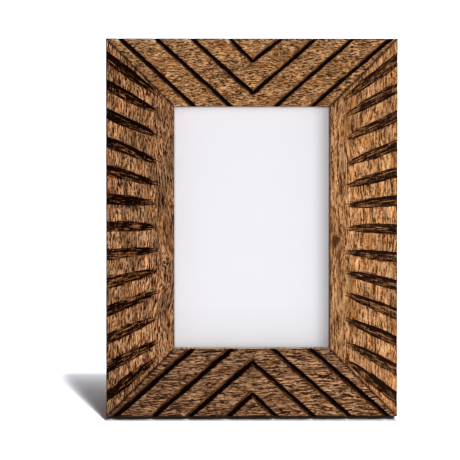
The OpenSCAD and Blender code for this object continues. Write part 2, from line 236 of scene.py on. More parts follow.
# White card, calendered: matt, with a fibre tooth too fine to see, drawn 0.4 mm coarse
def whiteCard():
    material, tree = newMaterial("calenderedWhiteCard")
    place = addNode(tree, "TexCoord", {}).outputs["Object"]
    tooth = mottle(tree, place, (0.4 * mm,) * 3, 3.0, 0.6)
    colour = addNode(tree, "ValToRGB", {"Fac": tooth}, stops=[(0.3, "#EFEAF2"), (0.7, "#F3EEF6")])
    bump = addNode(tree, "Bump", {"Height": tooth, "Distance": 0.02 * mm, "Strength": 0.5})
    shader = addNode(tree, "BsdfPrincipled",
                     {"Base Color": colour, "Roughness": 0.7, "Normal": bump, "IOR": 1.45})
    addNode(tree, "OutputMaterial", {"Surface": shader})
    return material


# Fibreboard, pressed from brown wood fibre: flecked, nearly matt, with a slight polish from the press
def pressedFibreboard():
    material, tree = newMaterial("pressedBrownFibreboard")
    place = addNode(tree, "TexCoord", {}).outputs["Object"]
    fibres = mottle(tree, place, (2.2 * mm, 0.5 * mm, 0.6 * mm), 3.0, 0.65, 1.2)
    flecks = mottle(tree, place, (0.7 * mm,) * 3, 2.0, 0.7, 0.5, (4, 2, 8))
    clouds = mottle(tree, place, (26 * mm,) * 3, 2.0, 0.5)
    colour = addNode(tree, "ValToRGB", {"Fac": fibres},
                     stops=[(0.3, "#563B26"), (0.5, "#6A4A30"), (0.72, "#80603F")])
    for pattern, stops, shade in ((flecks, [(0.3, 0.7), (0.42, 0)], "#38251A"),
                                  (clouds, [(0.35, 0), (0.7, 0.4)], "#5A4030")):
        share = addNode(tree, "ValToRGB", {"Fac": pattern}, stops=stops)
        colour = addNode(tree, "Mix", {0: share, 6: colour, 7: shade}, data_type="RGBA")
    bump = addNode(tree, "Bump", {"Height": fibres, "Distance": 0.05 * mm, "Strength": 0.6})
    shine = addNode(tree, "ValToRGB", {"Fac": flecks}, stops=[(0.3, 0.7), (0.6, 0.5)])
    shader = addNode(tree, "BsdfPrincipled",
                     {"Base Color": colour, "Roughness": shine, "Normal": bump, "IOR": 1.5})
    addNode(tree, "OutputMaterial", {"Surface": shader})
    return material


# A thin stamped metal: bright, with fine tool lines 0.25 mm apart and dull clouds from handling
def stampedMetal(name, look):
    material, tree = newMaterial(name)
    place = addNode(tree, "TexCoord", {}).outputs["Object"]
    lines = mottle(tree, place, (6 * mm, 0.25 * mm, 0.25 * mm), 2.0, 0.6)
    clouds = mottle(tree, place, (4 * mm,) * 3, 3.0, 0.6, 0.5)
    share = addNode(tree, "ValToRGB", {"Fac": clouds}, stops=[(0.38, 0), (0.68, 1)])
    colour = addNode(tree, "Mix", {0: share, 6: look["bright"], 7: look["dull"]}, data_type="RGBA")
    shine = addNode(tree, "Math", {0: clouds, 1: 0.3, 2: look["roughness"]}, operation="MULTIPLY_ADD")
    bump = addNode(tree, "Bump", {"Height": lines, "Distance": 0.02 * mm, "Strength": 0.6})
    shader = addNode(tree, "BsdfPrincipled",
                     {"Base Color": colour, "Metallic": 1.0, "Roughness": shine, "Normal": bump})
    addNode(tree, "OutputMaterial", {"Surface": shader})
    return material


# Shapes

def hashed(i, j, seed):
    # A number from 0 to 1 that looks random, for whole i and j
    value = np.sin(i * 127.1 + j * 311.7 + seed * 74.7) * 43758.5453
    return value - np.floor(value)


def waver(x, y, seed):
    # Smooth noise from -1 to 1, with one cell to a unit
    i, j = np.floor(x), np.floor(y)
    fx, fy = x - i, y - j
    fx, fy = fx * fx * (3 - 2 * fx), fy * fy * (3 - 2 * fy)
    low = hashed(i, j, seed) * (1 - fx) + hashed(i + 1, j, seed) * fx
    high = hashed(i, j + 1, seed) * (1 - fx) + hashed(i + 1, j + 1, seed) * fx
    return 2 * (low * (1 - fy) + high * fy) - 1


def oneWaver(x, y, seed):
    return float(waver(np.array(x), np.array(y), seed))


def ripples(t, seed, waves):
    # Waves along a cut, each given as its height, its length in mm and what it adds to the seed
    return sum(height * waver(t / length, t * 0, seed + more) for height, length, more in waves)


def rise(low, high, value):
    # From 0 to 1 while the value goes from low to high, gentle at both ends
    share = np.clip((value - low) / (high - low), 0, 1)
    return share * share * (3 - 2 * share)


def insideLoop(points, loop):
    # A point is inside if a level line from it crosses the loop an odd number of times
    inside = np.zeros(len(points), bool)
    x, y = points.T
    for (x0, y0), (x1, y1) in zip(loop, np.roll(loop, -1, 0)):
        if y0 != y1:
            inside ^= ((y0 > y) != (y1 > y)) & (x < (x1 - x0) * (y - y0) / (y1 - y0) + x0)
    return inside


def fillOutline(loops, lines=(), scatter=()):
    # Triangles in the first loop and outside the others, with the lines as edges and the scattered points
    points, edges = [], []
    for chain, closed in [(loop, True) for loop in loops] + [(line, False) for line in lines]:
        start, count = len(points), len(chain)
        points += [Vector(point) for point in chain]
        edges += [(start + k, start + (k + 1) % count) for k in range(count if closed else count - 1)]
    points += [Vector(point) for point in scatter]
    found, _, faces, *_ = delaunay_2d_cdt(points, edges, [], 0, 1e-5, False)
    found = np.array([tuple(point) for point in found], float)
    faces = np.array(faces)
    middles = found[faces].mean(1)
    keep = insideLoop(middles, np.array(loops[0]))
    for hole in loops[1:]:
        keep &= ~insideLoop(middles, np.array(hole))
    used, faces = np.unique(faces[keep], return_inverse=True)
    return found[used], faces.reshape(-1, 3)


def along(start, end, step):
    # Points from start to end, about a step apart
    count = max(1, int(round(math.dist(start, end) / step)))
    return np.linspace(start, end, count + 1)


def dotGrid(low, high, step):
    # Points a step apart, in rows of which every second one is moved by half a step
    rows = np.arange(low[1], high[1], step * math.sqrt(3) / 2)
    columns = np.arange(low[0], high[0], step)
    across, up = np.meshgrid(columns, rows)
    across = across + step / 2 * (np.arange(len(rows)) % 2)[:, None]
    return np.stack([across.ravel(), up.ravel()], 1)


def withDepth(spots, d):
    return np.column_stack([spots, np.full(len(spots), d)])


def strip(first, second):
    # Triangles between two chains of as many points
    count = len(first)
    k = np.arange(count - 1)
    faces = np.vstack([np.stack([k, k + 1, k + 1 + count], 1), np.stack([k, k + 1 + count, k + count], 1)])
    return np.vstack([first, second]), faces


# The rails. A rail is drawn as a board: a runs along it from its middle, v from the outer edge to the
# opening, and d from the front face to the back.
rail = dict(
    lip=3.8,  # how far the front covers the edge of the glass
    arris=0.7,  # radius worn on the front's outer and inner edges
    arrisWear=0.2,  # and the share by which it varies
    unevenness=0.03,  # how far the planed face waves up and down
    mitreEase=0.16,  # depth of the fine line where two rails meet
    backEase=0.5,  # flat on the outer back edge
    pilotRadius=1.22,  # of the screws' holes in the back
    pilotDepth=8.02,
    pilotSides=24,
    creaseAngle=38,  # degrees, over which an edge is shaded sharp
)
spacing = dict(  # of the mesh points
    fine=0.3,  # in the carving
    coarse=0.8,  # on the flats of the front
    wall=1.6,
    wallEdge=3.0,
    back=2.4,
    clear=0.6,  # least gap between scattered points and a wall's edge
)
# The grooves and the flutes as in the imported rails, and what the hand adds to them. Waves are given as in
# ripples(): height, length and what is added to the seed.
chevron = dict(
    first=14.4, pitch=19.5, angle=41.5, shift=1.1, count=4,
    width=3.1, depth=2.6,
    rounded=0.06,  # how round the floor is, as a share of the half-width
    overrun=1.3,  # how far a groove runs past the chevron's point
    fade=3.0,  # over which it comes to full depth
    chatter=((0.1, 4.5, 0), (0.1, 1.1, 9)),
    swell=((0.08, 7, 4),),
    sway=((0.22, 13, 6),),
)
flute = dict(
    slopes=(0, 6, 15, 21.5, 24, 28, 37), pitch=17.3, length=32.4, width=6.7, depth=2.2,
    wider=0.97,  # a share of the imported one's width
    outline=(2.9, 0.62),  # the powers that shape the outline towards the tip
    dish=(2.3, 0.75),  # and the hollow across
    stray=0.6,  # how far one flute strays along the rail
    turn=1.2,  # how many degrees it is turned
    short=0.05,  # and by what share it is shorter
    streak=0.2,  # depth of the gouge's lengthwise marks
    chatter=((0.04, 4, 0), (0.03, 0.9, 9)),
    sway=((0.25, 12, 6),),
)
split = dict(  # the thin cuts at a flute's tip
    spread=((-1.2, 2.6), (0, 0.4), (1.1, -2.2)),  # how far aside each starts, and the degrees it turns
    before=9,  # how far before the tip they start
    length=10.8, width=0.66, depth=0.45,
    stray=0.3, turn=1.5, longer=1.5,  # how far the hand strays in place, in degrees and in length
    scorched=0.8,
    sway=((0.15, 4, 0),),
)
# How the iron left the grooves on each rail's left half (-1) and right half (1):
# wider is the groove's width, as a share of the imported one's
# smoke is how much the wood beside the lips is browned
# brown and black are how far up the lit wall and up the shaded wall the floor's black goes: it goes further
# up
# # the shaded wall, a painted shade over the char
# # light is how pale the broken lips on the lit wall are, and chips the same at the outer ends: a painted
# # highlight as well as fresh wood
# strays is how far each groove strays along the rail, at its inner and at its outer end, middle groove first
grooveHand = {
    "top_rail": {
        -1: dict(wider=1.02, smoke=0.1, brown=0.88, black=0.8, light=0.85, chips=0.8,
                 strays=((-0.8, 1.5), (-0.3, 0), (-1, -0.1), (-1.1, 0.3))),
        1: dict(wider=0.97, smoke=0.3, brown=0.8, black=0.5, light=0.2, chips=0.8,
                strays=((-1.8, 0.3), (-1.6, -0.6), (-0.6, -0.1), (-0.4, 1)))},
    "bottom_rail": {
        -1: dict(wider=1.3, smoke=0.3, brown=0.52, black=0.8, light=0.15, chips=0,
                 strays=((-0.6, 0.1), (-0.9, -1.6), (-0.7, -1.6), (-2.4, -3.2))),
        1: dict(wider=1.14, smoke=0.08, brown=0.76, black=0.5, light=0.3, chips=0,
                strays=((-2.1, -2.5), (-2, -1.6), (-2.4, -1.9), (-1.5, -0.2)))},
}
# And the flutes of each rail: how far up they lie, how much the wood beside them is browned, how black the
# # lips and the floor are, and how much of that is worn off at the outer edge. The lip away from the light
# is
# # burnt blacker than the lit one: a painted shade.
fluteHand = {
    "left_rail": dict(raised=0.8, smoke=0.25, lips=0.4, scorched=0.68, bared=0),
    "right_rail": dict(raised=-0.8, smoke=0.2, lips=0.65, scorched=0.58, bared=0.05),
}
floorSkew = dict(groove=0.3, flute=0.2, split=0)  # how far aside the deepest line lies, as a share
cutReach = dict(aside=8, past=6)  # how far from a cut it is felt, more than its widest half and its smoke
# The V-nails as packed, with their distances from the corner, and the play in their slots
nail = dict(places=(10, 26), leg=6, strip=0.7, height=9, sunk=0.5, play=0.02)
lightInPlane = np.array([0.9, 0, 0.42])  # the light's side, as seen on the front face


def makeCut(kind, start, way, length, seed, axes, **more):
    # shade is 1 where the light comes from the +u side, so that the wall on that side lies in shadow
    towardU = way[1] * axes[0] - way[0] * axes[1]
    shade = float(np.dot(towardU, lightInPlane))
    return dict(kind=kind, start=np.array(start), way=way, length=length, seed=seed, shade=shade, **more)


# In a cut, lead is how far before its start it is followed, and drawn where its lines in the mesh start and
# how far past its end they go
def chevronCuts(node, axes):
    cuts = []
    slope = math.tan(math.radians(chevron["angle"]))
    for side in (-1, 1):
        hand = grooveHand[node][side]
        for k in range(chevron["count"]):
            pointV = chevron["first"] + k * chevron["pitch"]
            tapers = pointV < railW
            innerV = min(pointV, railW)
            inner, outer = hand["strays"][k]
            start = np.array([chevron["shift"] + side * (pointV - innerV) / slope + inner, innerV])
            end = np.array([chevron["shift"] + side * pointV / slope + outer, 0])
            length = np.linalg.norm(end - start)
            cuts.append(makeCut("groove", start, (end - start) / length, length, len(cuts) + len(node), axes,
                                tapers=tapers, lead=6 if tapers else 3,
                                drawn=(-chevron["overrun"] if tapers else -3, 4), **hand))
    return cuts


def fluteCuts(node, axes):
    cuts = []
    hand, last = fluteHand[node], len(flute["slopes"]) - 1
    for k in range(-last, last + 1):
        seed = k + last + 20 * len(node)
        stray, turn, short, twist = (oneWaver(seed * 1.7, row + 0.5, 3) for row in range(4))
        slope = math.radians(math.copysign(flute["slopes"][abs(k)], k) + flute["turn"] * turn)
        way = np.array([-math.sin(slope), math.cos(slope)])
        start = np.array([k * flute["pitch"] + hand["raised"] + flute["stray"] * stray, 0])
        length = flute["length"] * (1 - flute["short"] * abs(short)) / math.cos(slope)
        cuts.append(makeCut("flute", start, way, length, seed, axes, lead=6, drawn=(-5, -0.1), **hand))
        acrossWay = np.array([way[1], -way[0]])
        for part, (offset, turned) in enumerate(split["spread"]):
            turned = math.radians(turned + split["turn"] * twist)
            wayOut = way * math.cos(turned) + acrossWay * math.sin(turned)
            begin = start + way * (length - split["before"]) + acrossWay * (offset + split["stray"] * turn)
            reach = split["length"] + split["longer"] * oneWaver(seed * 0.9, part + 0.5, 5)
            cuts.append(makeCut("split", begin, wayOut, reach, seed + part * 40, axes, smoke=0.1, lead=0,
                                drawn=(0, -0.1)))
    return cuts


def cutProfile(cut, t):
    # Half-width, depth and sideways sway of a cut at distance t from its start
    seed, least = cut["seed"], 1e-6
    if cut["kind"] == "groove":
        start = -chevron["overrun"]
        taper = rise(start, start + chevron["fade"], t) if cut["tapers"] else t * 0 + 1
        half = cut["wider"] * chevron["width"] / 2 * (1 + ripples(t, seed, chevron["chatter"]))
        deep = chevron["depth"] * (1 + ripples(t, seed, chevron["swell"]))
        return half * taper + least, deep * taper, ripples(t, seed, chevron["sway"]) * rise(0, 6, t)
    share = np.clip(t / cut["length"], 0, 1)
    if cut["kind"] == "split":
        taper = rise(0, 0.2, share) * rise(1, 0.5, share)
        return split["width"] / 2 * taper + least, split["depth"] * taper, ripples(t, seed, split["sway"])
    bluntness, fullness = flute["outline"]
    roundness = (1 - share ** bluntness) ** fullness
    half = flute["wider"] * flute["width"] / 2 * roundness * (1 + ripples(t, seed, flute["chatter"]))
    return half + least, flute["depth"] * roundness ** 1.3, ripples(t, seed, flute["sway"])


def grooveMarks(cut, t, u, share, aside, half, deep):
    # A groove's depth, how burnt it is (blacker up the wall that lies in shade: partly painted shade), and
    # where
    #     # its lip is pale: fresh wood, kept only on the lit side, so also a painted highlight
    seed, shade, size = cut["seed"], cut["shade"], np.abs(share)
    dip = deep * np.clip(1 + chevron["rounded"] - np.sqrt(aside ** 2 + chevron["rounded"] ** 2), 0, 1)
    litSide = share * shade < floorSkew["groove"] * shade * shade
    jag = 0.14 * waver(t / 1.3, u / 2, seed + 13)
    # The black reaches further up the shaded wall than up the lit one: painted shade over the char
    burn = np.where(litSide, rise(cut["brown"], 0.2, aside + jag), rise(1.1, cut["black"], aside + jag))
    fromLip = np.abs(size - 1) * half
    patch = rise(-0.1, 0.5, waver(t / 5, t * 0, seed + 8)) * cut["light"]
    chip = rise(2.6, 1.4, cut["length"] - t) * rise(1.1, 0.7, fromLip) * cut["chips"]
    # The pale patches and chips lie only on the lit wall's lip: a painted highlight as well as fresh wood
    freshWoodAndHighlight = np.maximum(patch * litSide * rise(0.28, 0.05, fromLip), chip * litSide)
    return dip, burn, freshWoodAndHighlight, np.ones_like(t)


def fluteMarks(cut, t, u, share, aside, deep):
    # The same for a flute, and how firm its scorch is towards the tip
    seed, shade = cut["seed"], cut["shade"]
    marks = waver(u / 0.8, t / 11, seed + 2) + 0.6 * waver(u / 1.3, t / 5, seed + 5)
    steepness, flatness = flute["dish"]
    dip = deep * np.clip(1 - aside ** steepness, 0, 1) ** flatness + flute["streak"] * (marks - 0.5)
    # The lip away from the light is burnt blacker than the lit one: partly painted shade
    plus, minus = (np.clip(0.62 + sign * 0.5 * shade, cut["lips"], 1) for sign in (1, -1))
    wander = 0.2 * waver(t / 9, t * 0, seed + 12)
    burn = np.maximum(rise(-0.1, 0.4, share + wander) * plus, rise(-0.1, 0.5, wander - share) * minus)
    burn = np.maximum(burn, cut["scorched"] + 0.22 * waver(t / 8, u / 3, seed + 14)) * 0.95
    burn = burn * rise(1.1, 0.8, t / cut["length"]) * (1 - cut["bared"] * rise(12, 1, t))
    return dip, burn, np.zeros_like(t), 1 - 0.7 * rise(0.75, 1, t / cut["length"])


def carve(cuts, a, v):
    # What the cutting leaves at each point: its depth, the place along and across the nearest cut (share is
    #     # 0 on its middle line and 1 on its lips), how burnt it is, blacker on the shaded walls as painted
    #     shade,
    #     # and where the lip is pale, fresh wood kept on the lit lips as a painted highlight
    kept = ("depth", "t", "u", "number", "burn", "freshWoodAndHighlight", "firm", "smoke")
    found = {key: np.zeros_like(a) for key in kept}
    found["share"] = np.full_like(a, 3.0)
    for number, cut in enumerate(cuts):
        da, dv = a - cut["start"][0], v - cut["start"][1]
        t = da * cut["way"][0] + dv * cut["way"][1]
        u = da * cut["way"][1] - dv * cut["way"][0]
        inLength = (t > -cut["lead"]) & (t < cut["length"] + cutReach["past"])
        near = np.flatnonzero((np.abs(u) < cutReach["aside"]) & inLength)
        t, u = t[near], u[near]
        half, deep, sway = cutProfile(cut, t)
        share = (u - sway) / half
        size = np.abs(share)
        skew = floorSkew[cut["kind"]] * cut["shade"]
        aside = np.abs(share - skew) / np.where(share > skew, 1 - skew, 1 + skew)
        smoke = cut["smoke"] * rise(1.6, 0, (size - 1) * half) * rise(1.0, 0.85, t / cut["length"])
        if cut["kind"] == "groove":
            dip, burn, freshWoodAndHighlight, firm = grooveMarks(cut, t, u, share, aside, half, deep)
        elif cut["kind"] == "flute":
            dip, burn, freshWoodAndHighlight, firm = fluteMarks(cut, t, u, share, aside, deep)
        else:
            dip, burn = deep * np.clip(1 - size, 0, 1) ** 0.8, np.full_like(t, split["scorched"])
            freshWoodAndHighlight, firm = np.zeros_like(t), np.ones_like(t)
        dip = np.where(size < 1, np.maximum(dip, 0), 0)
        deeper = dip > found["depth"][near]
        closer = (size < np.abs(found["share"][near])) & (found["depth"][near] <= dip) | deeper
        chosen = near[closer]
        for key, value in dict(depth=dip, t=t, u=u - sway, share=share, burn=burn, freshWoodAndHighlight=freshWoodAndHighlight,
                               firm=firm, smoke=smoke).items():
            found[key][chosen] = value[closer]
        found["number"][chosen] = number
    return found


def faceDepth(cuts, a, v, length):
    # Depth of the front: worn edges, the mitre's fine line, an uneven face and the carving
    worn = rail["arris"] * (1 + rail["arrisWear"] * waver(a / 9, v * 0, 2))
    depth = np.zeros_like(a)
    for gap in (v, railW - v):
        inner = np.clip(worn - gap, 0, worn)
        depth = np.maximum(depth, worn - np.sqrt(worn ** 2 - inner ** 2))
    gap = (length / 2 - v - np.abs(a)) / math.sqrt(2)
    depth = np.maximum(depth, rail["mitreEase"] - gap)
    uneven = rail["unevenness"] * waver(a / 11, v / 7, 5) * rise(0, 2, v) * rise(0, 2, railW - v)
    return np.maximum(depth + uneven + rail["unevenness"], carve(cuts, a, v)["depth"])


def cutLines(cut):
    # A cut's deepest line and lips, as chains of points
    first, past = cut["drawn"]
    t = np.arange(first, cut["length"] + past, spacing["fine"] * 1.4)
    half, _, sway = cutProfile(cut, t)
    middle = floorSkew["groove"] * cut["shade"] if cut["kind"] == "groove" else 0
    chains = []
    for side in (-1, middle, 1) if cut["kind"] != "split" else (0,):
        u = sway + side * half
        chains.append(np.stack([cut["start"][0] + t * cut["way"][0] + u * cut["way"][1],
                                cut["start"][1] + t * cut["way"][1] - u * cut["way"][0]], 1))
    return chains


def carvedFace(length, cuts):
    # The front face, with its points closer together in the cuts than on the flats
    half, step = length / 2, spacing["coarse"]
    corners = [(-half, 0), (half, 0), (half - railW, railW), (-half + railW, railW)]
    outline = np.vstack([along(p, q, step)[:-1] for p, q in zip(corners, corners[1:] + corners[:1])])
    lines = []
    gaps = (0.1, 0.3, rail["arris"])  # between an edge and the lines beside it
    for v in (*gaps, *(railW - gap for gap in reversed(gaps))):
        end = half - v - 0.05
        lines.append(along((-end, v), (end, v), step))
    short = 1.2  # how far a line beside the mitre ends from the corners
    for side in (-1, 1):
        for gap in (0.12, 0.3):
            end = half - gap * math.sqrt(2)
            lines.append(along((side * (end - short), short),
                               (side * (end - railW + short), railW - short), step))
    for cut in cuts:
        lines += cutLines(cut)

    def dots(step, margin):
        spots = dotGrid((-half, 0), (half, railW), step)
        a, v = spots.T
        return spots[(v > margin) & (v < railW - margin) & (np.abs(a) < half - v - margin * 1.5)]

    fine = dots(spacing["fine"], 0.9)
    made = carve(cuts, *fine.T)
    size = np.abs(made["share"])
    lipGap = np.abs(made["u"]) * np.abs(1 / np.maximum(size, 1e-6) - 1)
    fine = fine[(size < 1.3) & ((lipGap > 0.12) | (made["u"] == 0))]
    coarse = dots(step, 1.0)
    coarse = coarse[np.abs(carve(cuts, *coarse.T)["share"]) > 1.4]
    flat, faces = fillOutline([outline], lines, np.vstack([fine, coarse]))
    return np.column_stack([flat, faceDepth(cuts, *flat.T, length)]), faces


def faceBorder(front, faces, half):
    # The front's own border: along the outer edge, along the opening, and at the two mitred ends
    sides = np.sort(np.vstack([faces[:, [0, 1]], faces[:, [1, 2]], faces[:, [2, 0]]]), 1)
    kinds, counts = np.unique(sides, axis=0, return_counts=True)
    border = front[np.unique(kinds[counts == 1])]
    a, v, _ = border.T

    def side(gap, key):
        chosen = border[np.abs(gap) < 0.01]
        return chosen[np.argsort(chosen[:, key])]

    return side(v, 0), side(v - railW, 0), {k: side(k * a - (half - v), 1) for k in (-1, 1)}


def sideWall(chain, v, back):
    # An upright wall from a border chain down to the depth back, and the places along its back edge
    span, clear = max(abs(chain[0, 0]), abs(chain[-1, 0])), spacing["clear"]
    bottom = along((-span, back), (span, back), spacing["wallEdge"])
    loop = np.vstack([chain[:, [0, 2]], bottom[::-1]])
    dots = dotGrid((-span, 0), (span, back), spacing["wall"])
    a, d = dots.T
    floor = np.interp(a, chain[:, 0], chain[:, 2])
    dots = dots[(d > floor + clear) & (d < back - clear) & (np.abs(a) < span - clear)]
    spots, faces = fillOutline([loop], (), dots)
    return (np.column_stack([spots[:, 0], np.full(len(spots), v), spots[:, 1]]), faces), bottom[:, 0]


def edgeChain(places, span, v, d):
    # The places along a wall's back edge, spread out to the span, as points
    return np.column_stack([places * span / places[-1], np.full(len(places), v), np.full(len(places), d)])


def backFace(half, outerBack, rebateBack, slots, pilots, holes):
    # The back, cut out for the V-nails and the screws' holes
    lowest, highest, edgeGap = rail["backEase"] + 0.8, railW - rail["lip"] - 0.8, 1
    rightSide = np.vstack([np.column_stack([half - slot[:, 0], slot[:, 1]]) for slot in slots])
    leftSide = rightSide[::-1] * (-1, 1)
    loop = np.vstack([outerBack[:, :2], rightSide, rebateBack[::-1, :2], leftSide])
    dots = dotGrid((-half, 0), (half, railW - rail["lip"]), spacing["back"])
    a, v = dots.T
    keep = (v > lowest) & (v < highest) & (np.abs(a) < half - v - edgeGap)
    for place in nail["places"]:
        keep &= np.abs(half - np.abs(a) - place - nail["leg"] / 2) / 4 + np.abs(v - place) / 2 > 1
    for holeA, holeV in pilots:
        keep &= np.hypot(a - holeA, v - holeV) > rail["pilotRadius"] + spacing["clear"]
    spots, faces = fillOutline([loop, *holes], (), dots[keep])
    onMitre = np.abs(half - spots[:, 1] - np.abs(spots[:, 0])) < 0.001
    faces = faces[~onMitre[faces].all(1)]  # none of these has any width
    return withDepth(spots, frameT), faces


def boardParts(length, cuts, pilots):
    # The rail's faces as (points, triangles) in board coordinates
    half, ease, lip = length / 2, rail["backEase"], railW - rail["lip"]
    front = carvedFace(length, cuts)
    outer, sight, ends = faceBorder(*front, half)
    outerWall, outerPlaces = sideWall(outer, 0, frameT - ease)
    sightWall, sightPlaces = sideWall(sight, railW, glassY)
    outerBack = edgeChain(outerPlaces, half - ease, ease, frameT)
    rebateFloor = edgeChain(sightPlaces, half - lip, lip, glassY)
    rebateBack = edgeChain(sightPlaces, half - lip, lip, frameT)
    parts = [front, outerWall, sightWall,
             strip(edgeChain(outerPlaces, half, 0, frameT - ease), outerBack),
             strip(edgeChain(sightPlaces, half - railW, railW, glassY), rebateFloor),
             strip(rebateFloor, rebateBack)]

    # The slots of the V-nails: distance from the corner along the rail, and across it
    play, floorD = nail["play"], frameT - nail["sunk"] - nail["height"] - nail["play"]
    slots = []
    for place in nail["places"]:
        low, high, far = place - play, place + nail["strip"] + play, place + nail["leg"] + play
        slot = np.array([(low, low), (far, low), (far, high), (high, high)])
        slots.append(slot)
        for k in (-1, 1):
            spots = np.column_stack([k * (half - slot[:, 0]), slot[:, 1]])
            bottom = withDepth(spots, floorD)
            parts += [(bottom, np.array([(0, 1, 2), (0, 2, 3)])), strip(withDepth(spots, frameT), bottom)]

    # The back and the screws' holes in it
    sides, radius = rail["pilotSides"], rail["pilotRadius"]
    turns = np.arange(sides) * 2 * math.pi / sides
    holes = [np.column_stack([a + radius * np.cos(turns), v + radius * np.sin(turns)]) for a, v in pilots]
    parts.append(backFace(half, outerBack, rebateBack, slots, pilots, holes))
    for hole in holes:
        ring = np.vstack([hole, hole[:1]])
        bottom = withDepth(ring, frameT - rail["pilotDepth"])
        k = np.arange(1, sides - 1)
        parts += [strip(withDepth(ring, frameT), bottom), (bottom, np.stack([k * 0, k, k + 1], 1))]

    # The mitred ends, notched for the V-nails
    notches = [[(slot[3, 1], frameT), (slot[3, 1], floorD), (slot[0, 1], floorD), (slot[0, 1], frameT)]
               for slot in reversed(slots)]
    for k in (-1, 1):
        loop = np.vstack([ends[k][:, [1, 2]], [(railW, glassY), (lip, glassY), (lip, frameT)],
                          *notches, [(ease, frameT), (0, frameT - ease)]])
        spots, faces = fillOutline([loop])
        parts.append((np.column_stack([k * (half - spots[:, 0]), spots]), faces))
    return parts


def closedMesh(name, parts):
    # All the faces in one mesh, and how many of its edges stay open
    counts = np.cumsum([0] + [len(points) for points, _ in parts])
    points = np.vstack([points for points, _ in parts])
    faces = np.vstack([triangles + start for (_, triangles), start in zip(parts, counts)])
    mesh = bpy.data.meshes.new(name)
    mesh.from_pydata(points.tolist(), [], faces.tolist())
    work = bmesh.new()
    work.from_mesh(mesh)
    bmesh.ops.remove_doubles(work, verts=work.verts, dist=0.003)
    bmesh.ops.recalc_face_normals(work, faces=work.faces)
    openEdges = sum(not edge.is_manifold for edge in work.edges)
    work.to_mesh(mesh)
    work.free()
    return mesh, openEdges


def railGrimeAndShade(a, v, d, length, look):
    # Dark lines in the mitres, stains, and darker outer and inner edges: partly grime, and partly painted
    # shade
    #     # on the edges and walls that face away from the light
    seed = look["seed"]
    mitreGap = (length / 2 - v - np.abs(a)) / math.sqrt(2) + 0.12 * waver(a / 1.1, v / 1.1, seed + 3)
    rough = 1 + 0.35 * waver(a / 4, v / 4, seed + 4)
    front = rise(1.5, 0.5, d)
    grimeAndShade = rise(0.5, 0.2, mitreGap)
    for stainA, stainV, halfA, halfV, dark in look["stains"]:
        away = np.hypot((a - stainA) / halfA, (v - stainV) / halfV) + 0.4 * waver(a / 3, v / 0.8, seed + 7)
        grimeAndShade = np.maximum(grimeAndShade, dark * rise(1.1, 0.4, away))
    # The outer and inner edges are darkened by each rail's own amount, heaviest where they face away from
    # the light: painted shade
    grimeAndShade = np.maximum(grimeAndShade, look["edge"] * front * rise(0.7, 0.25, v * rough))
    return np.maximum(grimeAndShade, look["sight"] * front * rise(0.7, 0.1, (railW - v) * rough))


def railTint(a, v, look):
    # How light the wood is: darker along the edges, lighter to one end, and cloudy
    seed, cloudy = look["seed"], look["cloudy"]
    tint = 1 - look["inner"] * rise(26, 35, v + 2 * waver(a / 12, v / 9, seed + 5))
    tint = tint * (1 - look["outer"] * rise(7, 0, v)) * (1 + look["slant"] * a / 80)
    return tint * (1 + cloudy * waver(a / 16, v / 4, seed + 6) + cloudy * waver(a / 7, v / 2, seed + 8))


def railGrain(a, v, look):
    # The place across the grain, which wavers and flows round the knots, and how near a knot is
    seed = look["seed"]
    wave = 1.1 * waver(a / 19, v / 22, seed) + 0.3 * waver(a / 8, v / 5, seed + 1)
    wave += 0.05 * waver(a / 3, v / 2.0, seed + 2) + look["leaning"] * waver(a / 30, v / 34, seed + 9)
    across, knot = v + wave, np.zeros_like(a)
    for knotA, knotV, size, dark in look["knots"]:
        da, dv = (a - knotA) / 1.5, v - knotV
        away = np.sqrt(da ** 2 + dv ** 2 + 0.04)
        across = across - dv * size ** 2 / (away ** 2 + 0.3 * size ** 2)
        knot = np.maximum(knot, dark * rise(1.6 * size, 0.6 * size, away))
    return across, knot


def paintRail(mesh, length, cuts, look):
    # What the wood needs to know at each point, stored on the mesh
    a, v, d = meshPoints(mesh).T
    onFace = np.abs(faceDepth(cuts, a, v, length) - d) < 0.02
    onWall = (v > railW - 0.02) & (d > 0.6)
    made, seed = carve(cuts, a, v), look["seed"]
    strength = np.maximum(made["smoke"], np.clip(made["depth"] / 0.3, 0, 2) * made["firm"])
    across, knot = railGrain(a, v, look)
    values = {
        # On the opening's walls the tint is painted light or shade: lighter on the bottom rail's wall, which
        # faces the light, darker on the right rail's, which lies in shade
        "tint": np.where(onWall, look["wall"], railTint(a, v, look)),
        "grainMm": np.column_stack([a + 300 * seed, across, d + 40.3 * seed]),  # each rail's own grain
        "cutMm": np.column_stack([made["t"], made["u"], 31.0 * made["number"] + 7 * seed]),
        "cutStrength": np.where(onFace, strength, 0),
        "burn": made["burn"],
        # On the walls this pale wood is a painted highlight on the bottom rail's lit wall; on the front it
        # marks the broken lips
        "freshWoodAndHighlight": np.where(onWall, look["wallHighlight"], np.where(onFace, made["freshWoodAndHighlight"], 0)),
        "grimeAndShade": railGrimeAndShade(a, v, d, length, look),
        "knot": knot,
    }
    for name, data in values.items():
        kind, key = ("FLOAT", "value") if data.ndim == 1 else ("FLOAT_VECTOR", "vector")
        layer = mesh.attributes.new(name, kind, "POINT")
        layer.data.foreach_set(key, data.astype(np.float32).ravel())


def addPiece(name, mesh, node, body):
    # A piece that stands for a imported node
    piece = bpy.data.objects.new(name, mesh)
    bpy.context.scene.collection.objects.link(piece)
    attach(piece, body)
    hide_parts(node)


